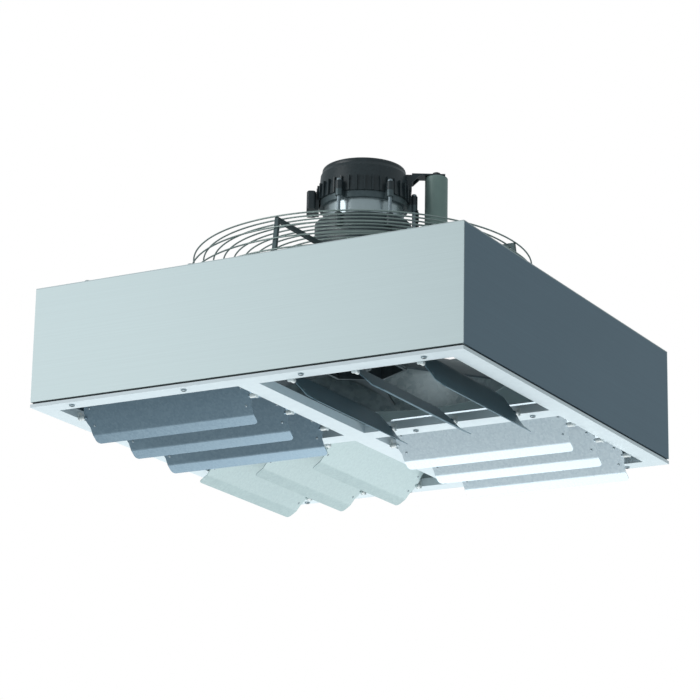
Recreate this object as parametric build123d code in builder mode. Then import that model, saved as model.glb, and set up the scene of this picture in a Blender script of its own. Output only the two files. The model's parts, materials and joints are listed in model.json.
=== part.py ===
"""Ceiling air-mixing fan: a square sheet-steel casing with a motor and wire guard on top and louvres below.

Millimetres, +Z up. The origin is the centre of the four suspension inserts, on the top plane of the
casing. The front of the casing looks along -Y. Every piece is written as its own STEP file.
"""

from build123d import *
from math import cos, radians, sin
import os

# Casing
casing_side = 700.0
casing_height = 180.0
sheet = 1.5
flange_width = 25.0
end_flange_width = 20.0
rim_height = 5.0
seal_thickness = 3.0
seal_recess = 2.5
fit_gap = 0.2

# Suspension inserts, for M8 rods
insert_inset = 50.0
insert_bore_radius = 4.1
insert_body_radius = 5.5
insert_flange_radius = 8.0
insert_flange_thickness = 1.0
insert_length = 16.0

# Pan-head screws
screw_radius = 2.1
screw_head_radius = 4.2
screw_head_height = 2.6
screw_length = 12.0
top_screw_inset = 7.0
top_screw_pitch = 176.0
face_screw_near = 95.0
face_screw_far = 285.0
face_screw_inset = 12.0

# Face frame
border_width = 30.4
cross_width = 34.0
lip_height = 13.0
rim_flange_width = 22.0

# Louvres: an S-shaped sheet blade on two stub pins
blade_sheet = 1.0
blade_half_panel = 28.0
blade_flange = 17.5
blade_bend = 18.0
blade_bend_radius = 9.0
blade_end_gap = 14.0
blade_neck_gap = 10.6
blade_neck_width = 7.0
blade_neck_slope = 9.0
blade_corner_radius = 7.0
blades_per_quarter = 3
front_right_tilts = (40.5, 46.5, 34.5)
front_left_tilts = (36.0, 36.0, 36.0)
rear_left_tilts = (39.0, 39.0, 39.0)
rear_right_tilts = (38.5, 38.5, 38.5)

# Pivot bushes
pin_radius = 2.0
pin_clearance = 0.05
pin_grip = 3.0
bush_radius = 3.4
bush_length = 10.0
bush_foot_thickness = 1.5
bush_foot_width = 9.0
bush_foot_height = 9.0
bush_pin_stop = 0.8

# Inlet ring and impeller
mouth_radius = 23.0
throat_bottom = -80.0
ring_flange_width = 12.0
ring_screws = 8
impeller_radius = 224.0
tip_gap = 4.0
impeller_level = -48.0
impeller_blades = 6
hub_apothem = 60.0
hub_height = 54.0
hub_skin = 4.0
hub_boss_radius = 16.0
blade_plate = 3.0
root_chord = 68.0
root_pitch = 40.0
tip_chord = 128.0
tip_pitch = 22.0
blade_camber = 0.09
blade_foot_width = 62.0
blade_foot_height = 50.0

# Wire guard
wire_radius = 1.2
guard_height = 88.0
guard_foot_step = 3.8
guard_flare = 11.0
inner_ring_gap = 17.0
top_ring_count = 12
side_ring_count = 4
side_ring_pitch = 17.5
arm_width = 6.0
arm_depth = 6.0
arm_clearance = 4.0
arm_azimuths = (90, 180, 270, 0)
foot_length = 30.0
foot_width = 20.0
foot_thickness = 3.0
guard_bolt_radius = 2.9
guard_bolt_head_radius = 5.5
guard_bolt_head_height = 3.6
guard_nut_height = 5.0

# Motor
motor_turn = 30.0
motor_plate_thickness = 3.0
motor_plate_radius = 108.0
motor_plate_hole = 32.0
shield_radius = 74.0
shield_top = 150.0
shield_floor = 6.0
can_radius = 62.0
can_wall = 2.5
can_bottom = 110.0
flange_ring_radius = 68.0
flange_ring_bottom = 176.5
flange_ring_height = 10.0
cap_radius = 70.0
cap_shoulder_radius = 66.5
cap_shoulder_height = 42.5
cap_crown_radius = 64.0
cap_crown_height = 12.0
cap_crown_step = 5.0
cap_wall = 3.0
cap_ribs = 36
cap_rib_height = 24.0
cap_rib_depth = 2.2
cap_rib_width = 2.4
bolt_circle = 77.0
bolt_places = 6
box_place = 3
tie_bolt_radius = 2.75
tie_head_radius = 4.0
tie_head_height = 4.0
lug_radius = 5.5
lug_height = 14.0
ear_height = 20.0
shaft_radius = 7.5
shaft_clearance = 0.05
bearing_radius = 17.5
bearing_width = 11.0
bearing_wall = 5.0
rotor_radius = 33.0
air_gap = 0.5
core_bottom = 114.0
core_height = 50.0
winding_inner = 38.0
winding_outer = 55.0
winding_height = 11.0
motor_bolt_circle = 50.0
motor_bolt_radius = 2.9
motor_bolt_head_radius = 5.0
motor_bolt_head_height = 4.0

# Terminal box, glands and capacitor
box_width = 44.0
box_reach = 87.0
box_seat = 73.0
box_bottom = 171.0
box_height = 30.0
box_corner = 4.0
gland_radius = 6.0
gland_length = 15.0
gland_ribs = 4
lead_gland_radius = 5.0
lead_gland_length = 38.0
lead_gland_azimuth = 48.0
lead_gland_circle = 85.0
capacitor_radius = 17.5
capacitor_length = 80.0
capacitor_reach = 111.0
bracket_width = 26.0
bracket_sheet = 2.5
bracket_tab = 10.0
bracket_rise = 3.0
stud_radius = 3.9
nut_radius = 6.5
nut_height = 5.0

# Levels and places worked out from the sizes above
half = casing_side / 2
face_level = -casing_height
frame_top = face_level + rim_height
casing_bottom = frame_top + seal_thickness
opening_outer = half - border_width
opening_inner = cross_width / 2
opening_span = opening_outer - opening_inner
opening_middle = (opening_outer + opening_inner) / 2
screw_line = half - face_screw_inset
screw_hole = screw_radius + fit_gap
face_screw_rows = (-face_screw_far, -face_screw_near, face_screw_near, face_screw_far)
insert_spacing = casing_side - 2 * insert_inset
throat_radius = impeller_radius + tip_gap
ring_mouth = throat_radius + mouth_radius
foot_inner = ring_mouth + ring_flange_width + fit_gap
guard_foot_radius = foot_inner + guard_foot_step
guard_top_radius = guard_foot_radius - guard_flare
ring_pitch = (guard_top_radius - shield_radius - inner_ring_gap) / (top_ring_count - 1)
arm_top = guard_height - wire_radius - fit_gap
arm_bottom = arm_top - arm_depth
plate_bottom = arm_bottom - motor_plate_thickness
shield_bottom = arm_bottom
cap_bottom = flange_ring_bottom + flange_ring_height
cap_shoulder = cap_bottom + cap_shoulder_height
cap_top = cap_shoulder + cap_crown_height
bracket_level = cap_shoulder + bracket_rise
shield_bore = can_radius + fit_gap
bolt_azimuths = [motor_turn + 360 / bolt_places * k for k in range(bolt_places) if k != box_place]
box_azimuth = motor_turn + 360 / bolt_places * box_place
lower_bearing_bottom = shield_bottom + shield_floor + 2
upper_bearing_bottom = cap_bottom + cap_rib_height + 2
shaft_top = upper_bearing_bottom + bearing_width
shaft_bottom = impeller_level - hub_height / 2 + 6


def save(piece, name):
    """Label one finished piece and write it as its own file."""
    piece.label = name
    export_step(piece, f"parts/{name}.step")


def around(radius, azimuth):
    """The point of the XY plane at this radius and azimuth."""
    return (radius * cos(radians(azimuth)), radius * sin(radians(azimuth)))


def radial_plane(azimuth, offset=0.0):
    """A plane through the axis: its x runs outwards at the azimuth and its y runs up."""
    out = Vector(cos(radians(azimuth)), sin(radians(azimuth)), 0)
    side = Vector(sin(radians(azimuth)), -cos(radians(azimuth)), 0)
    return Plane(origin=side * offset, x_dir=out, z_dir=side)


# Wall panels: folded channels, the side ones with end flanges that meet the front and rear webs
def long_wall(name, facing):
    """The front or rear panel: a web with a top and a bottom return flange."""
    web_middle = (casing_bottom - sheet) / 2
    web_height = -sheet - casing_bottom
    flange_y = facing * (half - sheet - (flange_width - sheet) / 2)
    with BuildPart() as panel:
        with Locations((0, facing * (half - sheet / 2), web_middle)):
            Box(casing_side, sheet, web_height)
        for level in (-sheet * 1.5, casing_bottom + sheet / 2):
            with Locations((0, flange_y, level)):
                Box(casing_side - 2 * sheet, flange_width - sheet, sheet)
        with BuildSketch(Plane.XY.offset(casing_bottom)):
            with Locations(*[(x, facing * screw_line) for x in face_screw_rows]):
                Circle(screw_hole)
        extrude(amount=sheet, mode=Mode.SUBTRACT)
        with BuildSketch(Plane.XY.offset(-2 * sheet)):
            with Locations(*[(x, facing * (half - top_screw_inset)) for x in top_screw_rows]):
                Circle(screw_hole)
        extrude(amount=sheet, mode=Mode.SUBTRACT)
    save(panel.part, name)


def side_wall(name, facing):
    """The left or right panel: a web, two return flanges and two end flanges."""
    inner_length = casing_side - 2 * sheet
    web_middle = (casing_bottom - sheet) / 2
    web_height = -sheet - casing_bottom
    flange_x = facing * (half - sheet - (flange_width - sheet) / 2)
    end_x = facing * (half - sheet - end_flange_width / 2)
    with BuildPart() as panel:
        with Locations((facing * (half - sheet / 2), 0, web_middle)):
            Box(sheet, inner_length, web_height)
        for level in (-sheet * 1.5, casing_bottom + sheet / 2):
            with Locations((flange_x, 0, level)):
                Box(flange_width - sheet, casing_side - 2 * flange_width, sheet)
        with Locations(*[(end_x, end * (half - sheet * 1.5), web_middle) for end in (-1, 1)]):
            Box(end_flange_width, sheet, web_height - 2 * sheet)
        with BuildSketch(Plane.XY.offset(-2 * sheet)):
            with Locations(*[(facing * (half - top_screw_inset), y) for y in side_screw_rows]):
                Circle(screw_hole)
        extrude(amount=sheet, mode=Mode.SUBTRACT)
    save(panel.part, name)


top_screw_rows = [top_screw_pitch * (k - 1.5) for k in range(4)]
side_screw_rows = [top_screw_pitch * (k - 1) for k in range(3)]
long_wall("front_panel", -1)
long_wall("rear_panel", 1)
side_wall("left_panel", -1)
side_wall("right_panel", 1)

# Top plate, with its orifice
top_screw_places = [(x, side * (half - top_screw_inset)) for x in top_screw_rows for side in (-1, 1)]
top_screw_places += [(side * (half - top_screw_inset), y) for y in side_screw_rows for side in (-1, 1)]
ring_screw_circle = ring_mouth + ring_flange_width / 2
ring_screw_places = [around(ring_screw_circle, 360 / ring_screws * (k + 0.5)) for k in range(ring_screws)]
bolt_line = guard_foot_radius + foot_length * 0.6
with BuildPart() as top_plate:
    with BuildSketch(Plane.XY.offset(-sheet)):
        Rectangle(casing_side, casing_side)
        Circle(ring_mouth + fit_gap, mode=Mode.SUBTRACT)
        with GridLocations(insert_spacing, insert_spacing, 2, 2):
            Circle(insert_body_radius + fit_gap, mode=Mode.SUBTRACT)
        with Locations(*[around(bolt_line, azimuth) for azimuth in arm_azimuths]):
            Circle(guard_bolt_radius + fit_gap, mode=Mode.SUBTRACT)
        with Locations(*top_screw_places, *ring_screw_places):
            Circle(screw_hole, mode=Mode.SUBTRACT)
    extrude(amount=sheet)
save(top_plate.part, "top_plate")

# Inlet ring: a flange on the top plate that curves down into the throat
with BuildPart() as inlet_ring:
    with BuildSketch(Plane.XZ):
        with BuildLine():
            Line((ring_mouth + ring_flange_width, sheet / 2), (ring_mouth, sheet / 2))
            CenterArc((ring_mouth, sheet / 2 - mouth_radius), mouth_radius, 90, 90)
            Line((throat_radius, sheet / 2 - mouth_radius), (throat_radius, throat_bottom))
        trace(line_width=sheet)
    revolve(axis=Axis.Z)
    with BuildSketch(Plane.XY):
        with Locations(*ring_screw_places):
            Circle(screw_hole)
    extrude(amount=sheet, mode=Mode.SUBTRACT)
save(inlet_ring.part, "inlet_ring")


def pan_screws(name, groups, points_down):
    """Identical pan-head screws, in groups of places and a level for the undersides of their heads."""
    head_way = 1 if points_down else -1
    with BuildPart() as screws:
        for places, level in groups:
            rim_level = level + head_way * screw_head_height
            with BuildSketch(Plane.XY.offset(level)):
                with Locations(*places):
                    Circle(screw_head_radius)
            extrude(amount=rim_level - level)
            rims = screws.edges().filter_by_position(Axis.Z, rim_level - fit_gap, rim_level + fit_gap)
            fillet(rims, screw_head_height / 2)
            with BuildSketch(Plane.XY.offset(level)):
                with Locations(*places):
                    Circle(screw_radius)
            extrude(amount=-head_way * (screw_length - screw_head_height))
    save(screws.part, name)


# Screws of the top: along the edges of the top plate, and round the inlet ring's flange
pan_screws("top_screws", [(top_screw_places, 0), (ring_screw_places, sheet)], True)

# Threaded inserts that the suspension rods screw into
with BuildPart() as suspension_inserts:
    with BuildSketch(Plane.XY):
        with GridLocations(insert_spacing, insert_spacing, 2, 2):
            Circle(insert_flange_radius)
    extrude(amount=insert_flange_thickness)
    with BuildSketch(Plane.XY):
        with GridLocations(insert_spacing, insert_spacing, 2, 2):
            Circle(insert_body_radius)
    extrude(amount=-insert_length)
    with BuildSketch(Plane.XY.offset(insert_flange_thickness)):
        with GridLocations(insert_spacing, insert_spacing, 2, 2):
            Circle(insert_bore_radius)
    extrude(amount=-insert_flange_thickness - insert_length, mode=Mode.SUBTRACT)
save(suspension_inserts.part, "suspension_inserts")

# Seal between the casing and the face frame
face_screw_places = [(x, side * screw_line) for x in face_screw_rows for side in (-1, 1)]
with BuildPart() as seal_strip:
    with BuildSketch(Plane.XY.offset(frame_top)):
        Rectangle(casing_side - 2 * seal_recess, casing_side - 2 * seal_recess)
        inner_side = casing_side - 2 * rim_flange_width
        Rectangle(inner_side, inner_side, mode=Mode.SUBTRACT)
        with Locations(*face_screw_places):
            Circle(screw_hole, mode=Mode.SUBTRACT)
    extrude(amount=seal_thickness)
save(seal_strip.part, "seal_strip")


# Face frame: four mitred border bars
def border_bar(name, azimuth, has_screws):
    """A border bar: a folded strip with an outer rim, a top flange and an inner lip, mitred at its ends."""
    out = Vector(cos(radians(azimuth)), sin(radians(azimuth)), 0)
    along = Vector(-out.Y, out.X, 0)
    middle = sheet / 2
    with BuildPart() as bar:
        with BuildSketch(Plane(origin=along * -half, x_dir=out, z_dir=along * -1)):
            with BuildLine():
                Polyline(
                    (half - rim_flange_width, frame_top - middle),
                    (half - middle, frame_top - middle),
                    (half - middle, face_level + middle),
                    (opening_outer + middle, face_level + middle),
                    (opening_outer + middle, face_level + lip_height),
                )
            trace(line_width=sheet)
        extrude(amount=-casing_side)
        with BuildSketch(Plane(origin=(0, 0, face_level), x_dir=out, z_dir=(0, 0, 1))):
            with BuildLine():
                Polyline((0, 0), (half, half), (half, -half), close=True)
            make_face()
        extrude(amount=lip_height, mode=Mode.INTERSECT)
        if has_screws:
            with BuildSketch(Plane.XY.offset(face_level)):
                with Locations(*[out * screw_line + along * x for x in face_screw_rows]):
                    Circle(screw_hole)
            extrude(amount=rim_height, mode=Mode.SUBTRACT)
    save(bar.part, name)


border_bar("right_bar", 0, False)
border_bar("rear_bar", 90, True)
border_bar("left_bar", 180, False)
border_bar("front_bar", 270, True)


def channel_section(start):
    """The folded channel section of a cross bar, at this place along X."""
    with BuildSketch(Plane(origin=(start, 0, 0), x_dir=(0, 1, 0), z_dir=(1, 0, 0))) as section:
        with BuildLine():
            Polyline(
                (-opening_inner + sheet / 2, face_level + lip_height),
                (-opening_inner + sheet / 2, face_level + sheet / 2),
                (opening_inner - sheet / 2, face_level + sheet / 2),
                (opening_inner - sheet / 2, face_level + lip_height),
            )
        trace(line_width=sheet)
    return section.sketch


with BuildPart() as long_cross_bar:
    extrude(channel_section(-opening_outer), amount=2 * opening_outer)
    with BuildSketch(Plane.XY.offset(face_level)):
        with Locations(*[(x, 0) for x in face_screw_rows]):
            Circle(screw_hole)
    extrude(amount=sheet, mode=Mode.SUBTRACT)
save(long_cross_bar.part, "long_cross_bar")

with BuildPart() as half_bar:
    extrude(channel_section(opening_inner), amount=opening_span)
rear_half_bar = half_bar.part.rotate(Axis.Z, 90)
front_half_bar = half_bar.part.rotate(Axis.Z, -90)
save(Compound(children=[front_half_bar, rear_half_bar]), "short_cross_bars")

cross_screw_places = [(x, 0) for x in face_screw_rows]
pan_screws("face_screws", [(face_screw_places + cross_screw_places, face_level)], False)

# Louvres: where each quarter's blades hang, which way their lower edges lean, and their tilts
quarters = {
    "front_right": ((1, -1), Vector(1, 0, 0), front_right_tilts),
    "front_left": ((-1, -1), Vector(0, 1, 0), front_left_tilts),
    "rear_left": ((-1, 1), Vector(-1, 0, 0), rear_left_tilts),
    "rear_right": ((1, 1), Vector(0, 1, 0), rear_right_tilts),
}
blade_pitch = opening_span / blades_per_quarter
pivot_offsets = [opening_inner + blade_pitch * (k + 0.5) for k in range(blades_per_quarter)]
neck_half = opening_span / 2 - blade_neck_gap
tip_half = opening_span / 2 - blade_end_gap
bend = radians(blade_bend)
tip_reach = blade_half_panel + blade_flange * cos(bend)
tip_rise = blade_flange * sin(bend)


def pivot_point(corner, lean, offset):
    """The middle of a blade's axis: the offset counts from the centre line across the blade."""
    if lean.X:
        return Vector(corner[0] * offset, corner[1] * opening_middle, face_level)
    return Vector(corner[0] * opening_middle, corner[1] * offset, face_level)


def louvre(name, pivot, lean, tilt):
    """An S-shaped blade with a stub pin at each end, its lower half leaning over by the tilt."""
    down = lean * sin(radians(tilt)) - Vector(0, 0, cos(radians(tilt)))
    normal = lean * cos(radians(tilt)) + Vector(0, 0, sin(radians(tilt)))
    along = lean.cross(Vector(0, 0, 1))
    section_plane = Plane(origin=pivot, x_dir=down, z_dir=along)
    with BuildPart() as blade:
        with BuildSketch(section_plane):
            with BuildLine():
                FilletPolyline(
                    (-tip_reach, -tip_rise),
                    (-blade_half_panel, 0),
                    (blade_half_panel, 0),
                    (tip_reach, tip_rise),
                    radius=blade_bend_radius,
                )
            trace(line_width=blade_sheet)
        extrude(amount=neck_half, both=True)
        with BuildSketch(Plane(origin=pivot, x_dir=along, z_dir=normal)):
            with BuildLine():
                Polyline(
                    (neck_half, -blade_neck_width),
                    (neck_half, blade_neck_width),
                    (tip_half, blade_neck_width + blade_neck_slope),
                    (tip_half, tip_reach),
                    (-tip_half, tip_reach),
                    (-tip_half, blade_neck_width + blade_neck_slope),
                    (-neck_half, blade_neck_width),
                    (-neck_half, -blade_neck_width),
                    (-tip_half, -blade_neck_width - blade_neck_slope),
                    (-tip_half, -tip_reach),
                    (tip_half, -tip_reach),
                    (tip_half, -blade_neck_width - blade_neck_slope),
                    close=True,
                )
            outline = make_face()
            fillet(outline.vertices().filter_by(lambda v: abs(v.Y) > blade_half_panel), blade_corner_radius)
        extrude(amount=tip_rise + blade_sheet, both=True, mode=Mode.INTERSECT)
        for end in (-1, 1):
            grip = section_plane.offset(end * (neck_half - pin_grip))
            pin_end = opening_span / 2 - bush_foot_thickness - bush_pin_stop
            with BuildSketch(grip):
                Circle(pin_radius)
            extrude(amount=end * (pin_end - neck_half + pin_grip))
    save(blade.part, name)


bush_places = []
for quarter, (corner, lean, tilts) in quarters.items():
    for number, (offset, tilt) in enumerate(zip(pivot_offsets, tilts), start=1):
        pivot = pivot_point(corner, lean, offset)
        louvre(f"louvre_{quarter}_{number}", pivot, lean, tilt)
        along = lean.cross(Vector(0, 0, 1))
        for outward in (along, along * -1):
            bush_places.append((pivot + outward * opening_span / 2, outward))

# Pivot bushes: a foot plate on the frame's lip and a barrel round the stub pin
with BuildPart() as pivot_bushes:
    for place, outward in bush_places:
        seat = Plane(origin=place, x_dir=outward.cross(Vector(0, 0, 1)), z_dir=outward * -1)
        foot_middle = (bush_foot_height - bush_radius) / 2
        with BuildSketch(seat):
            with Locations((0, seat.to_local_coords(place + Vector(0, 0, foot_middle)).Y)):
                RectangleRounded(bush_foot_width, bush_foot_height + bush_radius, 1.5)
        extrude(amount=bush_foot_thickness)
        with BuildSketch(seat):
            Circle(bush_radius)
        extrude(amount=bush_length)
        with BuildSketch(seat.offset(bush_foot_thickness)):
            Circle(pin_radius + pin_clearance)
        extrude(amount=bush_length - bush_foot_thickness, mode=Mode.SUBTRACT)
save(pivot_bushes.part, "pivot_bushes")


# Wire guard
def leg_radius(level):
    """The outer face of a guard leg at a level: it flares towards the foot."""
    return guard_foot_radius + (guard_top_radius - guard_foot_radius) * level / arm_top


with BuildPart() as guard_top_rings:
    for k in range(top_ring_count):
        with BuildSketch(Plane.XZ):
            with Locations((guard_top_radius - ring_pitch * k, guard_height)):
                Circle(wire_radius)
        revolve(axis=Axis.Z)
save(guard_top_rings.part, "guard_top_rings")

with BuildPart() as guard_side_rings:
    for k in range(side_ring_count):
        ring_level = guard_height - side_ring_pitch * (k + 1)
        with BuildSketch(Plane.XZ):
            with Locations((leg_radius(ring_level) + wire_radius + fit_gap, ring_level)):
                Circle(wire_radius)
        revolve(axis=Axis.Z)
save(guard_side_rings.part, "guard_side_rings")

with BuildPart() as guard_arms:
    arm_inner = shield_radius + arm_clearance
    for azimuth in arm_azimuths:
        with BuildSketch(radial_plane(azimuth)):
            with BuildLine():
                Polyline(
                    (arm_inner, arm_bottom),
                    (arm_inner, arm_top),
                    (leg_radius(arm_top), arm_top),
                    (guard_foot_radius, 0),
                    (foot_inner, 0),
                    (foot_inner, foot_thickness),
                    (guard_foot_radius - arm_depth, foot_thickness),
                    (leg_radius(arm_bottom) - arm_depth, arm_bottom),
                    close=True,
                )
            make_face()
        extrude(amount=arm_width / 2, both=True)
        with BuildSketch(radial_plane(azimuth)):
            with Locations((foot_inner + foot_length / 2, foot_thickness / 2)):
                Rectangle(foot_length, foot_thickness)
        extrude(amount=foot_width / 2, both=True)
    with Locations(*[around(bolt_line, azimuth) for azimuth in arm_azimuths]):
        Cylinder(guard_bolt_radius + fit_gap, 4 * foot_thickness, mode=Mode.SUBTRACT)
save(guard_arms.part, "guard_arms")

with BuildPart() as guard_bolts:
    bolt_points = [around(bolt_line, azimuth) for azimuth in arm_azimuths]
    with BuildSketch(Plane.XY.offset(foot_thickness)):
        with Locations(*bolt_points):
            RegularPolygon(guard_bolt_head_radius, 6)
    extrude(amount=guard_bolt_head_height)
    with BuildSketch(Plane.XY.offset(foot_thickness)):
        with Locations(*bolt_points):
            Circle(guard_bolt_radius)
    extrude(amount=-foot_thickness - sheet - guard_nut_height - 2)
    with BuildSketch(Plane.XY.offset(-sheet)):
        with Locations(*bolt_points):
            RegularPolygon(guard_bolt_head_radius, 6)
    extrude(amount=-guard_nut_height)
save(guard_bolts.part, "guard_bolts")

# Motor plate, welded under the guard arms, and the bolts that hold the motor on it
motor_bolt_points = [around(motor_bolt_circle, motor_turn + 45 + 90 * k) for k in range(4)]
with BuildPart() as motor_plate:
    with BuildSketch(Plane.XY.offset(plate_bottom)):
        Circle(motor_plate_radius)
        Circle(motor_plate_hole, mode=Mode.SUBTRACT)
        with Locations(*motor_bolt_points):
            Circle(motor_bolt_radius + fit_gap, mode=Mode.SUBTRACT)
    extrude(amount=motor_plate_thickness)
save(motor_plate.part, "motor_plate")

with BuildPart() as motor_bolts:
    with BuildSketch(Plane.XY.offset(plate_bottom)):
        with Locations(*motor_bolt_points):
            RegularPolygon(motor_bolt_head_radius, 6)
    extrude(amount=-motor_bolt_head_height)
    with BuildSketch(Plane.XY.offset(plate_bottom)):
        with Locations(*motor_bolt_points):
            Circle(motor_bolt_radius)
    extrude(amount=motor_plate_thickness + shield_floor - 1)
save(motor_bolts.part, "motor_bolts")


def lug_outline(level, inner):
    """Lugs for the tie bolts on the bolt circle, each with a web back to the wall."""
    with BuildSketch(Plane.XY.offset(level)) as outline:
        for azimuth in bolt_azimuths:
            with Locations(around(bolt_circle, azimuth)):
                Circle(lug_radius)
            with Locations(Location((*around((inner + bolt_circle) / 2, azimuth), 0), (0, 0, azimuth))):
                Rectangle(bolt_circle - inner, 1.4 * lug_radius)
    return outline.sketch


def tie_hole_outline(level):
    """The holes for the tie bolts."""
    with BuildSketch(Plane.XY.offset(level)) as outline:
        with Locations(*[around(bolt_circle, azimuth) for azimuth in bolt_azimuths]):
            Circle(tie_bolt_radius + fit_gap)
    return outline.sketch


# Lower shield: the motor's bell, with the lower bearing's seat in its floor
with BuildPart() as lower_shield:
    with BuildSketch(Plane.XY.offset(shield_bottom)):
        Circle(shield_radius)
    extrude(amount=shield_top - shield_bottom)
    with BuildSketch(Plane.XY.offset(shield_bottom + shield_floor)):
        Circle(shield_bore)
        Circle(bearing_radius + bearing_wall, mode=Mode.SUBTRACT)
    extrude(amount=shield_top - shield_bottom - shield_floor, mode=Mode.SUBTRACT)
    with BuildSketch(Plane.XY.offset(lower_bearing_bottom + bearing_width)):
        Circle(bearing_radius + bearing_wall + 1)
    extrude(amount=shield_top - lower_bearing_bottom - bearing_width, mode=Mode.SUBTRACT)
    with BuildSketch(Plane.XY.offset(lower_bearing_bottom)):
        Circle(bearing_radius + shaft_clearance)
    extrude(amount=bearing_width, mode=Mode.SUBTRACT)
    with BuildSketch(Plane.XY.offset(shield_bottom)):
        Circle(shaft_radius + 3)
    extrude(amount=lower_bearing_bottom - shield_bottom, mode=Mode.SUBTRACT)
    extrude(lug_outline(shield_top - ear_height, shield_bore + 4), amount=ear_height)
    extrude(tie_hole_outline(shield_top - ear_height + 4), amount=ear_height, mode=Mode.SUBTRACT)
    with BuildSketch(Plane.XY.offset(shield_top - ear_height)):
        with Locations(around(lead_gland_circle, lead_gland_azimuth)):
            Circle(lead_gland_radius + 3)
        pad_middle = around((shield_radius + lead_gland_circle) / 2 - 2, lead_gland_azimuth)
        with Locations(Location((*pad_middle, 0), (0, 0, lead_gland_azimuth))):
            Rectangle(lead_gland_circle - shield_radius + 4, 2 * lead_gland_radius)
    extrude(amount=ear_height)
    with BuildSketch(Plane.XY.offset(shield_bottom)):
        with Locations(*motor_bolt_points):
            Circle(motor_bolt_radius + fit_gap)
    extrude(amount=shield_floor, mode=Mode.SUBTRACT)
save(lower_shield.part, "lower_shield")

# Stator can, and the flange ring that the tie bolts clamp
with BuildPart() as stator_can:
    with BuildSketch(Plane.XY.offset(can_bottom)):
        Circle(can_radius)
        Circle(can_radius - can_wall, mode=Mode.SUBTRACT)
    extrude(amount=flange_ring_bottom - can_bottom)
save(stator_can.part, "stator_can")

with BuildPart() as flange_ring:
    with BuildSketch(Plane.XY.offset(flange_ring_bottom)):
        Circle(flange_ring_radius)
        Circle(can_radius - can_wall, mode=Mode.SUBTRACT)
    extrude(amount=flange_ring_height)
    extrude(lug_outline(flange_ring_bottom, can_radius), amount=flange_ring_height)
    extrude(tie_hole_outline(flange_ring_bottom), amount=flange_ring_height, mode=Mode.SUBTRACT)
save(flange_ring.part, "flange_ring")

# Motor cap: a ribbed crown with bolt lugs, two flat seats and the upper bearing's seat
with BuildPart() as motor_cap:
    with BuildSketch(Plane.XZ):
        with BuildLine():
            Polyline(
                (0, cap_top),
                (cap_crown_radius, cap_top),
                (cap_crown_radius, cap_shoulder + cap_crown_step),
                (cap_shoulder_radius, cap_shoulder),
                (cap_radius, cap_bottom),
                (0, cap_bottom),
                close=True,
            )
        make_face()
    revolve(axis=Axis.Z)
    fillet(motor_cap.edges().group_by(Axis.Z)[-1], 4)
    for azimuth in (motor_turn, box_azimuth):
        seat_level = cap_bottom + lug_height + tie_head_height + 1 if azimuth == motor_turn else cap_bottom
        seat_top = bracket_level if azimuth == motor_turn else box_bottom + box_height
        with BuildSketch(Plane.XY.offset(seat_level)):
            seat_middle = around((cap_crown_radius + box_seat) / 2 - 1, azimuth)
            with Locations(Location((*seat_middle, 0), (0, 0, azimuth))):
                Rectangle(box_seat - cap_crown_radius + 2, bracket_width)
        extrude(amount=seat_top - seat_level)
    extrude(lug_outline(cap_bottom, cap_radius - 1), amount=lug_height)
    with BuildSketch(Plane.XY.offset(cap_bottom)):
        with PolarLocations(cap_radius, cap_ribs):
            Rectangle(2 * cap_rib_depth, cap_rib_width)
    extrude(amount=cap_rib_height)
    with BuildSketch(Plane.XY.offset(cap_bottom)):
        Circle(cap_shoulder_radius - cap_wall)
    extrude(amount=cap_shoulder - cap_bottom - cap_wall, mode=Mode.SUBTRACT)
    with BuildSketch(Plane.XY.offset(upper_bearing_bottom)):
        Circle(bearing_radius + bearing_wall)
    extrude(amount=cap_shoulder - upper_bearing_bottom)
    with BuildSketch(Plane.XY.offset(upper_bearing_bottom)):
        Circle(bearing_radius + shaft_clearance)
    extrude(amount=bearing_width, mode=Mode.SUBTRACT)
    extrude(tie_hole_outline(cap_bottom), amount=lug_height, mode=Mode.SUBTRACT)
save(motor_cap.part, "motor_cap")

with BuildPart() as tie_bolts:
    tie_points = [around(bolt_circle, azimuth) for azimuth in bolt_azimuths]
    with BuildSketch(Plane.XY.offset(cap_bottom + lug_height)):
        with Locations(*tie_points):
            Circle(tie_head_radius)
    extrude(amount=tie_head_height)
    fillet(tie_bolts.edges().filter_by(GeomType.CIRCLE).group_by(Axis.Z)[-1], tie_head_height / 2)
    with BuildSketch(Plane.XY.offset(cap_bottom + lug_height)):
        with Locations(*tie_points):
            Circle(tie_bolt_radius)
    extrude(amount=-(cap_bottom + lug_height - shield_top + ear_height - 5))
save(tie_bolts.part, "tie_bolts")


def ring(name, bottom, height, inner, outer):
    """A plain ring about the motor's axis."""
    with BuildPart() as piece:
        with BuildSketch(Plane.XY.offset(bottom)):
            Circle(outer)
            Circle(inner, mode=Mode.SUBTRACT)
        extrude(amount=height)
    save(piece.part, name)


# Bearings, stator core and rotor core
ring("lower_bearing", lower_bearing_bottom, bearing_width, shaft_radius + shaft_clearance, bearing_radius)
ring("upper_bearing", upper_bearing_bottom, bearing_width, shaft_radius + shaft_clearance, bearing_radius)
ring("stator_core", core_bottom, core_height, rotor_radius + air_gap, can_radius - can_wall - shaft_clearance)
ring("rotor_core", core_bottom, core_height, shaft_radius, rotor_radius)

with BuildPart() as stator_winding:
    for winding_bottom in (core_bottom - winding_height, core_bottom + core_height):
        with BuildSketch(Plane.XY.offset(winding_bottom)):
            Circle(winding_outer)
            Circle(winding_inner, mode=Mode.SUBTRACT)
        extrude(amount=winding_height)
save(stator_winding.part, "stator_winding")

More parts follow.
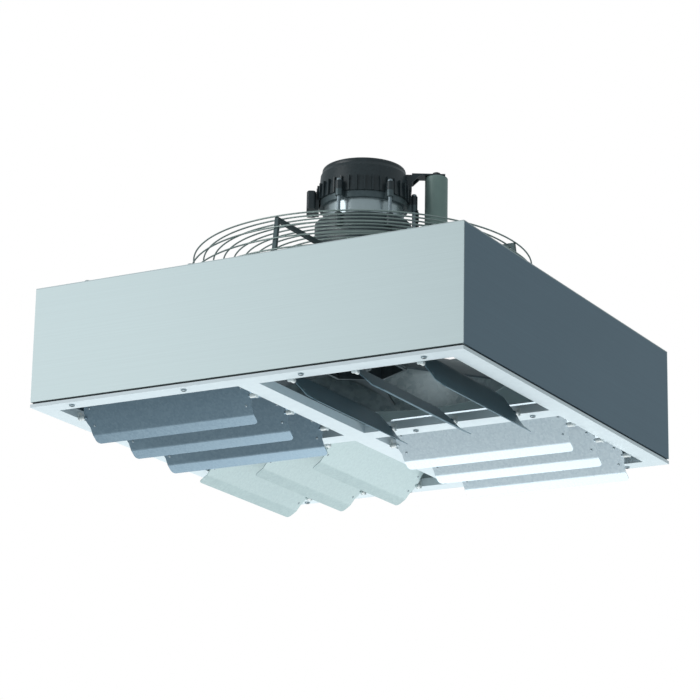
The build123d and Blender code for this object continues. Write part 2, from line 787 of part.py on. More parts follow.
# Terminal box, on its seat on the cap and beside the flange ring, with the cable gland at its rear end
with BuildPart() as terminal_box:
    with BuildSketch(Plane.XY.offset(box_bottom)):
        with Locations(Location((*around((box_seat + box_reach) / 2, box_azimuth), 0), (0, 0, box_azimuth))):
            RectangleRounded(box_reach - box_seat, box_width, box_corner)
    extrude(amount=box_height)
    fillet(terminal_box.edges().group_by(Axis.Z)[-1], box_corner)
    box_back = flange_ring_radius + fit_gap
    with BuildSketch(Plane.XY.offset(box_bottom)):
        with Locations(Location((*around((box_seat + box_back) / 2, box_azimuth), 0), (0, 0, box_azimuth))):
            Rectangle(box_seat - box_back, box_width - 2 * box_corner)
    extrude(amount=cap_bottom - fit_gap - box_bottom)
save(terminal_box.part, "terminal_box")


def ribbed_gland(name, seat, length, radius):
    """A gland that stands on its seat plane: a barrel with a row of grip rings and an open mouth."""
    rib_pitch = length / gland_ribs
    with BuildPart() as gland:
        with BuildSketch(seat):
            Circle(radius - 1)
        extrude(amount=length)
        for k in range(gland_ribs):
            with BuildSketch(seat.offset(rib_pitch * k)):
                Circle(radius)
            extrude(amount=rib_pitch * 0.6)
        with BuildSketch(seat.offset(length)):
            Circle(radius * 0.5)
        extrude(amount=-length * 0.4, mode=Mode.SUBTRACT)
    save(gland.part, name)


rearwards = Vector(sin(radians(box_azimuth)), -cos(radians(box_azimuth)), 0)
box_middle = Vector(*around((box_seat + box_reach) / 2, box_azimuth), box_bottom + box_height / 2)
box_end = Plane(box_middle + rearwards * box_width / 2, z_dir=rearwards)
ribbed_gland("cable_gland", box_end, gland_length, gland_radius)
lead_place = (*around(lead_gland_circle, lead_gland_azimuth), shield_top)
ribbed_gland("lead_gland", Plane(lead_place), lead_gland_length, lead_gland_radius)

# Capacitor, hanging by its stud from a bracket on the cap's seat
capacitor_place = around(capacitor_reach, motor_turn)
with BuildPart() as capacitor:
    with BuildSketch(Plane.XY.offset(bracket_level)):
        with Locations(capacitor_place):
            Circle(capacitor_radius)
    extrude(amount=-capacitor_length)
    fillet(capacitor.edges().filter_by(GeomType.CIRCLE), 2.5)
    with BuildSketch(Plane.XY.offset(bracket_level)):
        with Locations(capacitor_place):
            Circle(stud_radius)
    extrude(amount=bracket_sheet + nut_height + 1)
save(capacitor.part, "capacitor")

with BuildPart() as capacitor_bracket:
    bracket_end = capacitor_reach + bracket_width / 2
    with BuildSketch(radial_plane(motor_turn)):
        with BuildLine():
            Polyline(
                (box_seat, bracket_level - bracket_tab),
                (box_seat, bracket_level + bracket_sheet),
                (bracket_end, bracket_level + bracket_sheet),
                (bracket_end, bracket_level),
                (box_seat + bracket_sheet, bracket_level),
                (box_seat + bracket_sheet, bracket_level - bracket_tab),
                close=True,
            )
        make_face()
    extrude(amount=bracket_width / 2, both=True)
    for side in (-1, 1):
        gusset_plane = radial_plane(motor_turn, side * (bracket_width - bracket_sheet) / 2)
        gusset_foot = box_seat + bracket_sheet + bracket_tab
        with BuildSketch(gusset_plane):
            with BuildLine():
                Polyline(
                    (box_seat + bracket_sheet, bracket_level),
                    (gusset_foot, bracket_level),
                    (box_seat + bracket_sheet, bracket_level - bracket_tab),
                    close=True,
                )
            make_face()
        extrude(amount=bracket_sheet / 2, both=True)
    with BuildSketch(Plane.XY.offset(bracket_level)):
        with Locations(capacitor_place):
            Circle(stud_radius + fit_gap)
    extrude(amount=bracket_sheet, mode=Mode.SUBTRACT)
save(capacitor_bracket.part, "capacitor_bracket")

with BuildPart() as capacitor_nut:
    with BuildSketch(Plane.XY.offset(bracket_level + bracket_sheet)):
        with Locations(capacitor_place):
            RegularPolygon(nut_radius, 6)
            Circle(stud_radius + fit_gap, mode=Mode.SUBTRACT)
    extrude(amount=nut_height)
save(capacitor_nut.part, "capacitor_nut")

# Impeller: shaft, hexagonal hub, and six sheet blades with feet on the hub's flats
with BuildPart() as motor_shaft:
    with BuildSketch(Plane.XY.offset(shaft_bottom)):
        Circle(shaft_radius)
    extrude(amount=shaft_top - shaft_bottom)
save(motor_shaft.part, "motor_shaft")

hub_bottom = impeller_level - hub_height / 2
with BuildPart() as impeller_hub:
    with BuildSketch(Plane.XY.offset(hub_bottom)):
        RegularPolygon(hub_apothem, impeller_blades, major_radius=False, rotation=180 / impeller_blades)
    extrude(amount=hub_height)
    with BuildSketch(Plane.XY.offset(hub_bottom)):
        inner_apothem = hub_apothem - hub_skin
        RegularPolygon(inner_apothem, impeller_blades, major_radius=False, rotation=180 / impeller_blades)
        Circle(hub_boss_radius, mode=Mode.SUBTRACT)
    extrude(amount=hub_height - hub_skin, mode=Mode.SUBTRACT)
    with BuildSketch(Plane.XY.offset(hub_bottom)):
        Circle(shaft_radius)
    extrude(amount=hub_height, mode=Mode.SUBTRACT)
save(impeller_hub.part, "impeller_hub")


def blade_section(radius, chord, pitch):
    """A cambered plate section at a radius of the blade along +X."""
    camber = chord * blade_camber
    with BuildSketch(Plane(origin=(radius, 0, impeller_level), x_dir=(0, 1, 0), z_dir=(1, 0, 0))) as section:
        with BuildLine(Plane.XY.rotated((0, 0, pitch))):
            lower = ThreePointArc((-chord / 2, 0), (0, camber), (chord / 2, 0))
            crown = camber + blade_plate
            upper = ThreePointArc((-chord / 2, blade_plate), (0, crown), (chord / 2, blade_plate))
            Line(lower @ 0, upper @ 0)
            Line(lower @ 1, upper @ 1)
        make_face()
    return section.sketch


with BuildPart() as first_blade:
    root_section = blade_section(hub_apothem + blade_plate, root_chord, root_pitch)
    tip_section = blade_section(impeller_radius, tip_chord, tip_pitch)
    loft([root_section, tip_section], ruled=True)
    with BuildSketch(Plane.XY.offset(impeller_level - 1.2 * tip_chord)):
        Circle(impeller_radius)
    extrude(amount=2.4 * tip_chord, mode=Mode.INTERSECT)
    with BuildSketch(Plane(origin=(hub_apothem, 0, impeller_level), x_dir=(0, 1, 0), z_dir=(1, 0, 0))):
        RectangleRounded(blade_foot_width, blade_foot_height, 4)
    extrude(amount=blade_plate)

for k in range(impeller_blades):
    turned_blade = first_blade.part.rotate(Axis.Z, 360 / impeller_blades * k)
    save(turned_blade, f"impeller_blade_{k + 1}")

with BuildPart() as impeller_screw:
    with BuildSketch(Plane.XY.offset(hub_bottom)):
        Circle(shaft_radius + 5)
    extrude(amount=-2)
    with BuildSketch(Plane.XY.offset(hub_bottom - 2)):
        RegularPolygon(shaft_radius, 6)
    extrude(amount=-5)
    with BuildSketch(Plane.XY.offset(hub_bottom)):
        Circle(shaft_radius - fit_gap)
    extrude(amount=shaft_bottom - hub_bottom)
save(impeller_screw.part, "impeller_screw")
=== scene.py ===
"""The looks of a ceiling air-mixing fan: a finish for every piece, and the fine pieces added on them."""

import json
import logging
import math
from dataclasses import dataclass, field
from enum import Enum

import bpy
from mathutils import Matrix, Vector


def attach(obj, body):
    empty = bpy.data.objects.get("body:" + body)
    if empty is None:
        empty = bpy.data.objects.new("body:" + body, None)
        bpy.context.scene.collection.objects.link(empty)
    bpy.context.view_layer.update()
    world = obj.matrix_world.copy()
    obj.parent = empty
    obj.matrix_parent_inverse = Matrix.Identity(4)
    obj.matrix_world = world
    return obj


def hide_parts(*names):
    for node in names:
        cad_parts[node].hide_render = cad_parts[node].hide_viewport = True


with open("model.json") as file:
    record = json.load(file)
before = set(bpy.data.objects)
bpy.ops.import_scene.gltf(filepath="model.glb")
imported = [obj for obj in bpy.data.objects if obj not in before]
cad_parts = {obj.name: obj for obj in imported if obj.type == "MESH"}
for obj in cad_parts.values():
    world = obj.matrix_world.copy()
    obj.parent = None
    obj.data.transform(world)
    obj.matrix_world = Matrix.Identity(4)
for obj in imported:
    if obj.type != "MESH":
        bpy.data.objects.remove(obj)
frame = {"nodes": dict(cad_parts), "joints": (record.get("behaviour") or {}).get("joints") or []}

logging.basicConfig(level=logging.INFO, format="%(message)s")
log = logging.getLogger("fan")

CASING = "casing"
PHOTO_WIDTH = 700
BUMP_DEPTH = 0.0004
WEAR_SCALE = 6.0
WIRE_SIDES = 10
DOME_SEGMENTS = 12
DOME_RINGS = 6
Colour = tuple[float, float, float]


def shade(red: int, green: int, blue: int) -> Colour:
    """A colour in linear light from its 0 to 255 screen values.

    Args:
        red: Red screen value.
        green: Green screen value.
        blue: Blue screen value.

    Returns:
        The three linear values.
    """
    values = [channel / 255 for channel in (red, green, blue)]
    return tuple(v / 12.92 if v <= 0.04045 else ((v + 0.055) / 1.055) ** 2.4 for v in values)


class Pattern(Enum):
    """The kinds of surface detail that a finish can show."""

    BRUSHED = "brushed"
    SPANGLE = "spangle"
    MOULDED = "moulded"
    TURNED = "turned"


@dataclass(frozen=True)
class Finish:
    """One surface finish, with its colour range, gloss and fine pattern."""

    name: str
    light: Colour
    dark: Colour
    pattern: Pattern
    roughness: float = 0.45
    roughness_spread: float = 0.12
    metallic: float = 0.0
    grain: tuple[float, float, float] = (1.0, 1.0, 1.0)
    scale: float = 40.0
    bump: float = 0.05
    grime: float = 0.15

    def material(self) -> bpy.types.Material:
        """The material of this finish, made once and then shared.

        Returns:
            The material.
        """
        made = bpy.data.materials.get(self.name)
        if made is not None and made.use_nodes and made.get("own_finish"):
            return made
        made = bpy.data.materials.new(self.name)
        made["own_finish"] = True
        made.use_nodes = True
        self._wire(made.node_tree)
        return made

    def _wire(self, tree: bpy.types.NodeTree) -> None:
        """Builds the nodes: a fine pattern and broad wear, mixed into colour, roughness and bump.

        Args:
            tree: The material's node tree.
        """
        nodes, links = tree.nodes, tree.links
        shader = nodes["Principled BSDF"]
        shader.inputs["Metallic"].default_value = self.metallic
        place = nodes.new("ShaderNodeTexCoord")
        mapping = nodes.new("ShaderNodeMapping")
        mapping.inputs["Scale"].default_value = self.grain
        links.new(place.outputs["Object"], mapping.inputs["Vector"])
        fine = self._fine(nodes, links, mapping)
        broad = nodes.new("ShaderNodeTexNoise")
        broad.inputs["Scale"].default_value = WEAR_SCALE
        broad.inputs["Detail"].default_value = 5.0
        links.new(place.outputs["Object"], broad.inputs["Vector"])
        blend = nodes.new("ShaderNodeMix")
        blend.inputs["Factor"].default_value = self.grime
        links.new(fine, blend.inputs["A"])
        links.new(broad.outputs["Fac"], blend.inputs["B"])
        colours = nodes.new("ShaderNodeValToRGB")
        colours.color_ramp.elements[0].position = 0.25
        colours.color_ramp.elements[0].color = (*self.dark, 1)
        colours.color_ramp.elements[1].position = 0.75
        colours.color_ramp.elements[1].color = (*self.light, 1)
        links.new(blend.outputs["Result"], colours.inputs["Fac"])
        links.new(colours.outputs["Color"], shader.inputs["Base Color"])
        gloss = nodes.new("ShaderNodeMapRange")
        gloss.inputs["To Min"].default_value = self.roughness - self.roughness_spread
        gloss.inputs["To Max"].default_value = self.roughness + self.roughness_spread
        links.new(blend.outputs["Result"], gloss.inputs["Value"])
        links.new(gloss.outputs["Result"], shader.inputs["Roughness"])
        bump = nodes.new("ShaderNodeBump")
        bump.inputs["Strength"].default_value = self.bump
        bump.inputs["Distance"].default_value = BUMP_DEPTH
        links.new(fine, bump.inputs["Height"])
        links.new(bump.outputs["Normal"], shader.inputs["Normal"])

    def _fine(
        self, nodes: bpy.types.Nodes, links: bpy.types.NodeLinks, mapping: bpy.types.Node
    ) -> bpy.types.NodeSocket:
        """The fine pattern of the finish.

        Args:
            nodes: The tree's nodes.
            links: The tree's links.
            mapping: The node that scales the object's coordinates.

        Returns:
            The socket with the pattern's value.
        """
        if self.pattern is Pattern.SPANGLE:
            cells = nodes.new("ShaderNodeTexVoronoi")
            cells.inputs["Scale"].default_value = self.scale
            cells.inputs["Randomness"].default_value = 1.0
            links.new(mapping.outputs["Vector"], cells.inputs["Vector"])
            grey = nodes.new("ShaderNodeRGBToBW")
            links.new(cells.outputs["Color"], grey.inputs["Color"])
            return grey.outputs["Val"]
        if self.pattern is Pattern.TURNED:
            waves = nodes.new("ShaderNodeTexWave")
            waves.bands_direction = "Z"
            waves.inputs["Scale"].default_value = self.scale
            waves.inputs["Distortion"].default_value = 0.4
            links.new(mapping.outputs["Vector"], waves.inputs["Vector"])
            return waves.outputs["Fac"]
        noise = nodes.new("ShaderNodeTexNoise")
        noise.inputs["Scale"].default_value = self.scale
        noise.inputs["Detail"].default_value = 3.0 if self.pattern is Pattern.BRUSHED else 6.0
        links.new(mapping.outputs["Vector"], noise.inputs["Vector"])
        return noise.outputs["Fac"]


ALONG_X_ON_WALL = (0.03, 1.0, 8.0)
ALONG_Y_ON_WALL = (1.0, 0.03, 8.0)
ALONG_X_ON_TOP = (0.03, 8.0, 1.0)

FRONT_SHEET = Finish("brushed_front_sheet", shade(202, 217, 219), shade(194, 209, 211), Pattern.BRUSHED,
                     0.44, 0.04, 0.20, ALONG_X_ON_WALL, 130, 0.03, 0.35)
# Painted shade: the left and right panels are the same brushed steel as the front and rear panels, given a
# darker copy for their dim sides.
SIDE_SHEET = Finish("shaded_side_sheet", shade(104, 128, 143), shade(94, 117, 132), Pattern.BRUSHED,
                    0.42, 0.05, 0.25, ALONG_Y_ON_WALL, 130, 0.03, 0.35)
TOP_SHEET = Finish("brushed_top_sheet", shade(178, 190, 192), shade(160, 174, 177), Pattern.BRUSHED,
                   0.44, 0.06, 0.30, ALONG_X_ON_TOP, 60, 0.05, 0.3)
FRAME_PAINT = Finish("white_frame_paint", shade(224, 236, 241), shade(214, 227, 233), Pattern.MOULDED,
                     0.42, 0.06, 0.0, (1, 1, 1), 90, 0.04, 0.4)
# Painted light and shade: the four louvre quarters are one galvanised zinc, each given a darker or lighter
# copy for how the light falls on its blades (front left and front right shaded, rear left and rear right
# lit).
HALF_SHADED_ZINC = Finish("half_shaded_spangled_zinc", shade(122, 144, 158), shade(108, 131, 146), Pattern.SPANGLE,
                   0.42, 0.08, 0.50, (1, 1, 1), 330, 0.02, 0.45)
DEEP_SHADED_ZINC = Finish("deep_shaded_spangled_zinc", shade(104, 132, 144), shade(90, 118, 131), Pattern.SPANGLE,
                    0.46, 0.08, 0.35, (1, 1, 1), 330, 0.02, 0.45)
SOFTLY_LIT_ZINC = Finish("softly_lit_spangled_zinc", shade(194, 213, 214), shade(182, 202, 204), Pattern.SPANGLE,
                   0.44, 0.06, 0.20, (1, 1, 1), 330, 0.02, 0.4)
BRIGHTLY_LIT_ZINC = Finish("brightly_lit_spangled_zinc", shade(208, 222, 229), shade(192, 208, 217), Pattern.SPANGLE,
                     0.44, 0.06, 0.20, (1, 1, 1), 330, 0.02, 0.4)
INLET_ZINC = Finish("inlet_zinc", shade(150, 164, 168), shade(122, 138, 143), Pattern.SPANGLE,
                    0.42, 0.08, 0.45, (1, 1, 1), 160, 0.03, 0.3)
WIRE_ZINC = Finish("zinc_wire", shade(168, 184, 180), shade(130, 147, 143), Pattern.MOULDED,
                   0.32, 0.08, 0.45, (1, 1, 1), 120, 0.05, 0.6)
ARM_ZINC = Finish("dull_zinc_strap", shade(92, 108, 110), shade(60, 74, 77), Pattern.MOULDED,
                  0.40, 0.10, 0.55, (1, 1, 1), 70, 0.05, 0.6)
SCREW_ZINC = Finish("zinc_screws", shade(168, 182, 188), shade(128, 142, 150), Pattern.MOULDED,
                    0.34, 0.08, 0.6, (1, 1, 1), 220, 0.05, 0.4)
CAP_BLACK = Finish("black_cap_moulding", shade(58, 70, 75), shade(36, 46, 50), Pattern.MOULDED,
                   0.34, 0.08, 0.0, (1, 1, 1), 260, 0.10, 0.4)
SHIELD_ENAMEL = Finish("dark_shield_enamel", shade(64, 78, 83), shade(44, 57, 61), Pattern.MOULDED,
                       0.38, 0.08, 0.15, (1, 1, 1), 180, 0.12, 0.5)
TURNED_METAL = Finish("turned_stator_metal", shade(206, 218, 221), shade(166, 182, 187), Pattern.TURNED,
                      0.28, 0.06, 0.75, (1, 1, 1), 220, 0.04, 0.25)
RING_METAL = Finish("cast_flange_metal", shade(104, 118, 122), shade(74, 88, 92), Pattern.MOULDED,
                    0.36, 0.08, 0.5, (1, 1, 1), 160, 0.12, 0.5)
CAN_GREY = Finish("capacitor_can", shade(140, 164, 158), shade(126, 149, 144), Pattern.MOULDED,
                  0.40, 0.05, 0.10, (1, 1, 1), 80, 0.03, 0.5)
GLAND_BLACK = Finish("gland_nylon", shade(48, 56, 60), shade(30, 37, 40), Pattern.MOULDED,
                     0.42, 0.08, 0.0, (1, 1, 1), 200, 0.08, 0.4)
# Partly painted shade: the seal strip is dark rubber, and its dark colour also stands for the shadow line in
# the gap between the casing and the face frame.
SEAL_AND_GAP_SHADE = Finish("dark_seal_and_gap_shade", shade(44, 52, 56), shade(28, 34, 37), Pattern.MOULDED,
                     0.75, 0.08, 0.0, (1, 1, 1), 300, 0.3, 0.3)
BUSH_NYLON = Finish("bush_nylon", shade(238, 244, 244), shade(222, 231, 232), Pattern.MOULDED,
                    0.40, 0.06, 0.0, (1, 1, 1), 150, 0.05, 0.4)
FAN_METAL = Finish("impeller_metal", shade(112, 122, 127), shade(84, 95, 100), Pattern.BRUSHED,
                   0.38, 0.08, 0.6, (1, 1, 1), 120, 0.06, 0.4)
CORE_STEEL = Finish("laminated_core", shade(110, 112, 116), shade(62, 64, 68), Pattern.TURNED,
                    0.45, 0.08, 0.7, (1, 1, 1), 700, 0.3, 0.2)
COIL_COPPER = Finish("varnished_coil", shade(186, 112, 66), shade(120, 66, 36), Pattern.TURNED,
                     0.35, 0.08, 0.6, (1, 1, 1), 480, 0.3, 0.2)
# Painted shade: dark grey for the shade inside the screws' cross recesses; the screws themselves are zinc.
RECESS_SHADE = Finish("screw_recess", shade(46, 54, 58), shade(30, 36, 40), Pattern.MOULDED,
                     0.6, 0.08, 0.3, (1, 1, 1), 300, 0.05, 0.4)

NODE_FINISHES: dict[str, Finish] = {
    "front_panel": FRONT_SHEET, "rear_panel": FRONT_SHEET, "left_panel": SIDE_SHEET,
    "right_panel": SIDE_SHEET, "top_plate": TOP_SHEET, "front_bar": FRAME_PAINT, "rear_bar": FRAME_PAINT,
    "left_bar": FRAME_PAINT, "right_bar": FRAME_PAINT, "long_cross_bar": FRAME_PAINT,
    "short_cross_bars": FRAME_PAINT, "louvre_front_left": HALF_SHADED_ZINC, "louvre_front_right": DEEP_SHADED_ZINC,
    "louvre_rear_left": SOFTLY_LIT_ZINC, "louvre_rear_right": BRIGHTLY_LIT_ZINC, "inlet_ring": INLET_ZINC,
    "guard_arms": ARM_ZINC, "guard_bolts": SCREW_ZINC, "motor_plate": ARM_ZINC, "motor_bolts": SCREW_ZINC,
    "lower_shield": SHIELD_ENAMEL, "stator_can": TURNED_METAL, "flange_ring": RING_METAL,
    "motor_cap": CAP_BLACK, "tie_bolts": SCREW_ZINC, "terminal_box": CAP_BLACK, "cable_gland": GLAND_BLACK,
    "lead_gland": GLAND_BLACK, "capacitor_bracket": SHIELD_ENAMEL, "capacitor_nut": GLAND_BLACK,
    "capacitor": CAN_GREY, "seal_strip": SEAL_AND_GAP_SHADE, "pivot_bushes": BUSH_NYLON,
    "stator_core": CORE_STEEL, "rotor_core": CORE_STEEL, "stator_winding": COIL_COPPER, "impeller": FAN_METAL,
    "motor_shaft": TURNED_METAL, "upper_bearing": TURNED_METAL, "lower_bearing": TURNED_METAL,
}


def finish_of(node: str) -> Finish:
    """The finish of a node: the one named for it, or for the longest start of its name.

    Args:
        node: The node's name.

    Returns:
        The finish.
    """
    starts = [name for name in NODE_FINISHES if node.startswith(name)]
    return NODE_FINISHES[max(starts, key=len)] if starts else SCREW_ZINC


class HeadShape(Enum):
    """The small shapes that are repeated over the fan."""

    DOME = "dome"
    CROSS = "cross"


@dataclass
class Repeater:
    """Places one small shape at many points with a Geometry Nodes tree."""

    name: str
    shape: HeadShape
    size: Vector
    finish: Finish

    def _tree(self) -> bpy.types.GeometryNodeTree:
        """Builds the tree: points in, turned copies of the shape out.

        Returns:
            The node tree.
        """
        tree = bpy.data.node_groups.new(f"{self.name}_tree", "GeometryNodeTree")
        tree.interface.new_socket("Geometry", in_out="INPUT", socket_type="NodeSocketGeometry")
        tree.interface.new_socket("Size", in_out="INPUT", socket_type="NodeSocketVector")
        tree.interface.new_socket("Material", in_out="INPUT", socket_type="NodeSocketMaterial")
        tree.interface.new_socket("Geometry", in_out="OUTPUT", socket_type="NodeSocketGeometry")
        nodes, links = tree.nodes, tree.links
        inputs, outputs = nodes.new("NodeGroupInput"), nodes.new("NodeGroupOutput")
        aim = nodes.new("GeometryNodeInputNamedAttribute")
        aim.data_type = "FLOAT_VECTOR"
        aim.inputs["Name"].default_value = "aim"
        turn = nodes.new("FunctionNodeAlignRotationToVector")
        turn.axis = "Z"
        links.new(aim.outputs["Attribute"], turn.inputs["Vector"])
        scale = nodes.new("GeometryNodeTransform")
        links.new(self._unit_shape(nodes, links), scale.inputs["Geometry"])
        links.new(inputs.outputs["Size"], scale.inputs["Scale"])
        copies = nodes.new("GeometryNodeInstanceOnPoints")
        links.new(inputs.outputs["Geometry"], copies.inputs["Points"])
        links.new(scale.outputs["Geometry"], copies.inputs["Instance"])
        links.new(turn.outputs["Rotation"], copies.inputs["Rotation"])
        real = nodes.new("GeometryNodeRealizeInstances")
        links.new(copies.outputs["Instances"], real.inputs["Geometry"])
        paint = nodes.new("GeometryNodeSetMaterial")
        links.new(real.outputs["Geometry"], paint.inputs["Geometry"])
        links.new(inputs.outputs["Material"], paint.inputs["Material"])
        links.new(paint.outputs["Geometry"], outputs.inputs["Geometry"])
        return tree

    def _unit_shape(self, nodes: bpy.types.Nodes, links: bpy.types.NodeLinks) -> bpy.types.NodeSocket:
        """The shape at unit size, with its Z along the aim.

        Args:
            nodes: The tree's nodes.
            links: The tree's links.

        Returns:
            The socket with the shape's geometry.
        """
        if self.shape is HeadShape.DOME:
            ball = nodes.new("GeometryNodeMeshUVSphere")
            ball.inputs["Segments"].default_value = DOME_SEGMENTS
            ball.inputs["Rings"].default_value = DOME_RINGS
            ball.inputs["Radius"].default_value = 1.0
            smooth = nodes.new("GeometryNodeSetShadeSmooth")
            links.new(ball.outputs["Mesh"], smooth.inputs["Geometry"])
            return smooth.outputs["Geometry"]
        join = nodes.new("GeometryNodeJoinGeometry")
        for size in ((2.0, 0.5, 1.0), (0.5, 2.0, 1.0)):
            arm = nodes.new("GeometryNodeMeshCube")
            arm.inputs["Size"].default_value = size
            links.new(arm.outputs["Mesh"], join.inputs["Geometry"])
        return join.outputs["Geometry"]

    def place(self, body: str, points: list[Vector], aims: list[Vector]) -> bpy.types.Object:
        """Makes the copies a plain mesh that rides on a body.

        Args:
            body: The body that carries the copies.
            points: Where the copies go, in metres.
            aims: Which way each copy's Z points.

        Returns:
            The finished piece.
        """
        seeds = bpy.data.meshes.new(f"{self.name}_points")
        seeds.from_pydata([tuple(p) for p in points], [], [])
        attribute = seeds.attributes.new("aim", "FLOAT_VECTOR", "POINT")
        for item, aim in zip(attribute.data, aims):
            item.vector = aim.normalized()
        piece = bpy.data.objects.new(self.name, seeds)
        bpy.context.collection.objects.link(piece)
        modifier = piece.modifiers.new("copies", "NODES")
        modifier.node_group = self._tree()
        sockets = input_sockets(modifier)
        modifier[sockets["Size"]] = tuple(self.size)
        modifier[sockets["Material"]] = self.finish.material()
        return settle(piece, body)


def input_sockets(modifier: bpy.types.NodesModifier) -> dict[str, str]:
    """The identifiers of a Geometry Nodes modifier's inputs, by their names.

    Args:
        modifier: The modifier, with its tree.

    Returns:
        The identifier of each input.
    """
    items = modifier.node_group.interface.items_tree
    return {item.name: item.identifier for item in items if item.in_out == "INPUT"}


def settle(piece: bpy.types.Object, body: str) -> bpy.types.Object:
    """Turns a piece with a Geometry Nodes modifier into a plain mesh and rides it on its body.

    Args:
        piece: The object with its modifier.
        body: The body that carries it.

    Returns:
        The same object, as a plain mesh.
    """
    bpy.context.view_layer.update()
    evaluated = piece.evaluated_get(bpy.context.evaluated_depsgraph_get())
    mesh = bpy.data.meshes.new_from_object(evaluated)
    piece.modifiers.clear()
    piece.data = mesh
    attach(piece, body)
    log.info("%s: %d faces on %s", piece.name, len(mesh.polygons), body)
    return piece


@dataclass
class Guard:
    """The wire guard: round rings at their real gauge, and the weld beads that hold them on the arms."""

    wire_radius: float = 0.0012
    height: float = 0.088
    top_radius: float = 0.256
    foot_radius: float = 0.267
    ring_pitch: float = 0.015
    top_count: int = 12
    side_count: int = 4
    side_pitch: float = 0.0175
    seat_gap: float = 0.0002
    segments: int = 180
    bead_radius: float = 0.0022
    azimuths: tuple[float, ...] = (90, 180, 270, 0)

    def _side_radius(self, level: float) -> float:
        """The radius of a side ring, following the flare of the legs.

        Args:
            level: The ring's height.

        Returns:
            The ring's radius.
        """
        arm_top = self.height - self.wire_radius - self.seat_gap
        leg = self.foot_radius + (self.top_radius - self.foot_radius) * level / arm_top
        return leg + self.wire_radius + self.seat_gap

    def _levels(self) -> tuple[list[tuple[float, float]], list[tuple[float, float]]]:
        """The radius and level of each ring.

        Returns:
            The top rings, and the side rings.
        """
        top = [(self.top_radius - self.ring_pitch * k, self.height) for k in range(self.top_count)]
        heights = [self.height - self.side_pitch * (k + 1) for k in range(self.side_count)]
        return top, [(self._side_radius(level), level) for level in heights]

    def _ring_tree(self) -> bpy.types.GeometryNodeTree:
        """Builds the tree that sweeps a round wire along one circle for each point.

        Returns:
            The node tree.
        """
        tree = bpy.data.node_groups.new("guard_ring_tree", "GeometryNodeTree")
        tree.interface.new_socket("Geometry", in_out="INPUT", socket_type="NodeSocketGeometry")
        tree.interface.new_socket("Wire Radius", in_out="INPUT", socket_type="NodeSocketFloat")
        tree.interface.new_socket("Segments", in_out="INPUT", socket_type="NodeSocketInt")
        tree.interface.new_socket("Material", in_out="INPUT", socket_type="NodeSocketMaterial")
        tree.interface.new_socket("Geometry", in_out="OUTPUT", socket_type="NodeSocketGeometry")
        nodes, links = tree.nodes, tree.links
        inputs, outputs = nodes.new("NodeGroupInput"), nodes.new("NodeGroupOutput")
        radius = nodes.new("GeometryNodeInputNamedAttribute")
        radius.inputs["Name"].default_value = "radius"
        circle = nodes.new("GeometryNodeCurvePrimitiveCircle")
        circle.inputs["Radius"].default_value = 1.0
        links.new(inputs.outputs["Segments"], circle.inputs["Resolution"])
        copies = nodes.new("GeometryNodeInstanceOnPoints")
        links.new(inputs.outputs["Geometry"], copies.inputs["Points"])
        links.new(circle.outputs["Curve"], copies.inputs["Instance"])
        links.new(radius.outputs["Attribute"], copies.inputs["Scale"])
        real = nodes.new("GeometryNodeRealizeInstances")
        links.new(copies.outputs["Instances"], real.inputs["Geometry"])
        profile = nodes.new("GeometryNodeCurvePrimitiveCircle")
        profile.inputs["Resolution"].default_value = WIRE_SIDES
        links.new(inputs.outputs["Wire Radius"], profile.inputs["Radius"])
        sweep = nodes.new("GeometryNodeCurveToMesh")
        links.new(real.outputs["Geometry"], sweep.inputs["Curve"])
        links.new(profile.outputs["Curve"], sweep.inputs["Profile Curve"])
        smooth = nodes.new("GeometryNodeSetShadeSmooth")
        links.new(sweep.outputs["Mesh"], smooth.inputs["Geometry"])
        paint = nodes.new("GeometryNodeSetMaterial")
        links.new(smooth.outputs["Geometry"], paint.inputs["Geometry"])
        links.new(inputs.outputs["Material"], paint.inputs["Material"])
        links.new(paint.outputs["Geometry"], outputs.inputs["Geometry"])
        return tree

    def _rings(self, name: str, rings: list[tuple[float, float]], node: str) -> None:
        """Makes one group of rings in place of its plain node.

        Args:
            name: The piece's name.
            rings: The radius and level of each ring.
            node: The node that the rings stand for.
        """
        seeds = bpy.data.meshes.new(f"{name}_points")
        seeds.from_pydata([(0, 0, level) for _, level in rings], [], [])
        attribute = seeds.attributes.new("radius", "FLOAT", "POINT")
        for item, (radius, _) in zip(attribute.data, rings):
            item.value = radius
        piece = bpy.data.objects.new(name, seeds)
        bpy.context.collection.objects.link(piece)
        modifier = piece.modifiers.new("rings", "NODES")
        modifier.node_group = self._ring_tree()
        sockets = input_sockets(modifier)
        modifier[sockets["Wire Radius"]] = self.wire_radius
        modifier[sockets["Segments"]] = self.segments
        modifier[sockets["Material"]] = WIRE_ZINC.material()
        settle(piece, CASING)
        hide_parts(node)

    def build(self) -> None:
        """Makes the rings and their weld beads."""
        top, side = self._levels()
        self._rings("guard_top_wires", top, "guard_top_rings")
        self._rings("guard_side_wires", side, "guard_side_rings")
        points, aims = [], []
        for azimuth in self.azimuths:
            out = Vector((math.cos(math.radians(azimuth)), math.sin(math.radians(azimuth)), 0))
            for radius, level in top:
                points.append(out * radius + Vector((0, 0, level - self.wire_radius)))
                aims.append(Vector((0, 0, 1)))
            for radius, level in side:
                points.append(out * (radius - self.wire_radius) + Vector((0, 0, level)))
                aims.append(out)
        size = Vector((self.bead_radius, self.bead_radius, self.bead_radius * 0.45))
        beads = Repeater("guard_weld_beads", HeadShape.DOME, size, ARM_ZINC).place(CASING, points, aims)


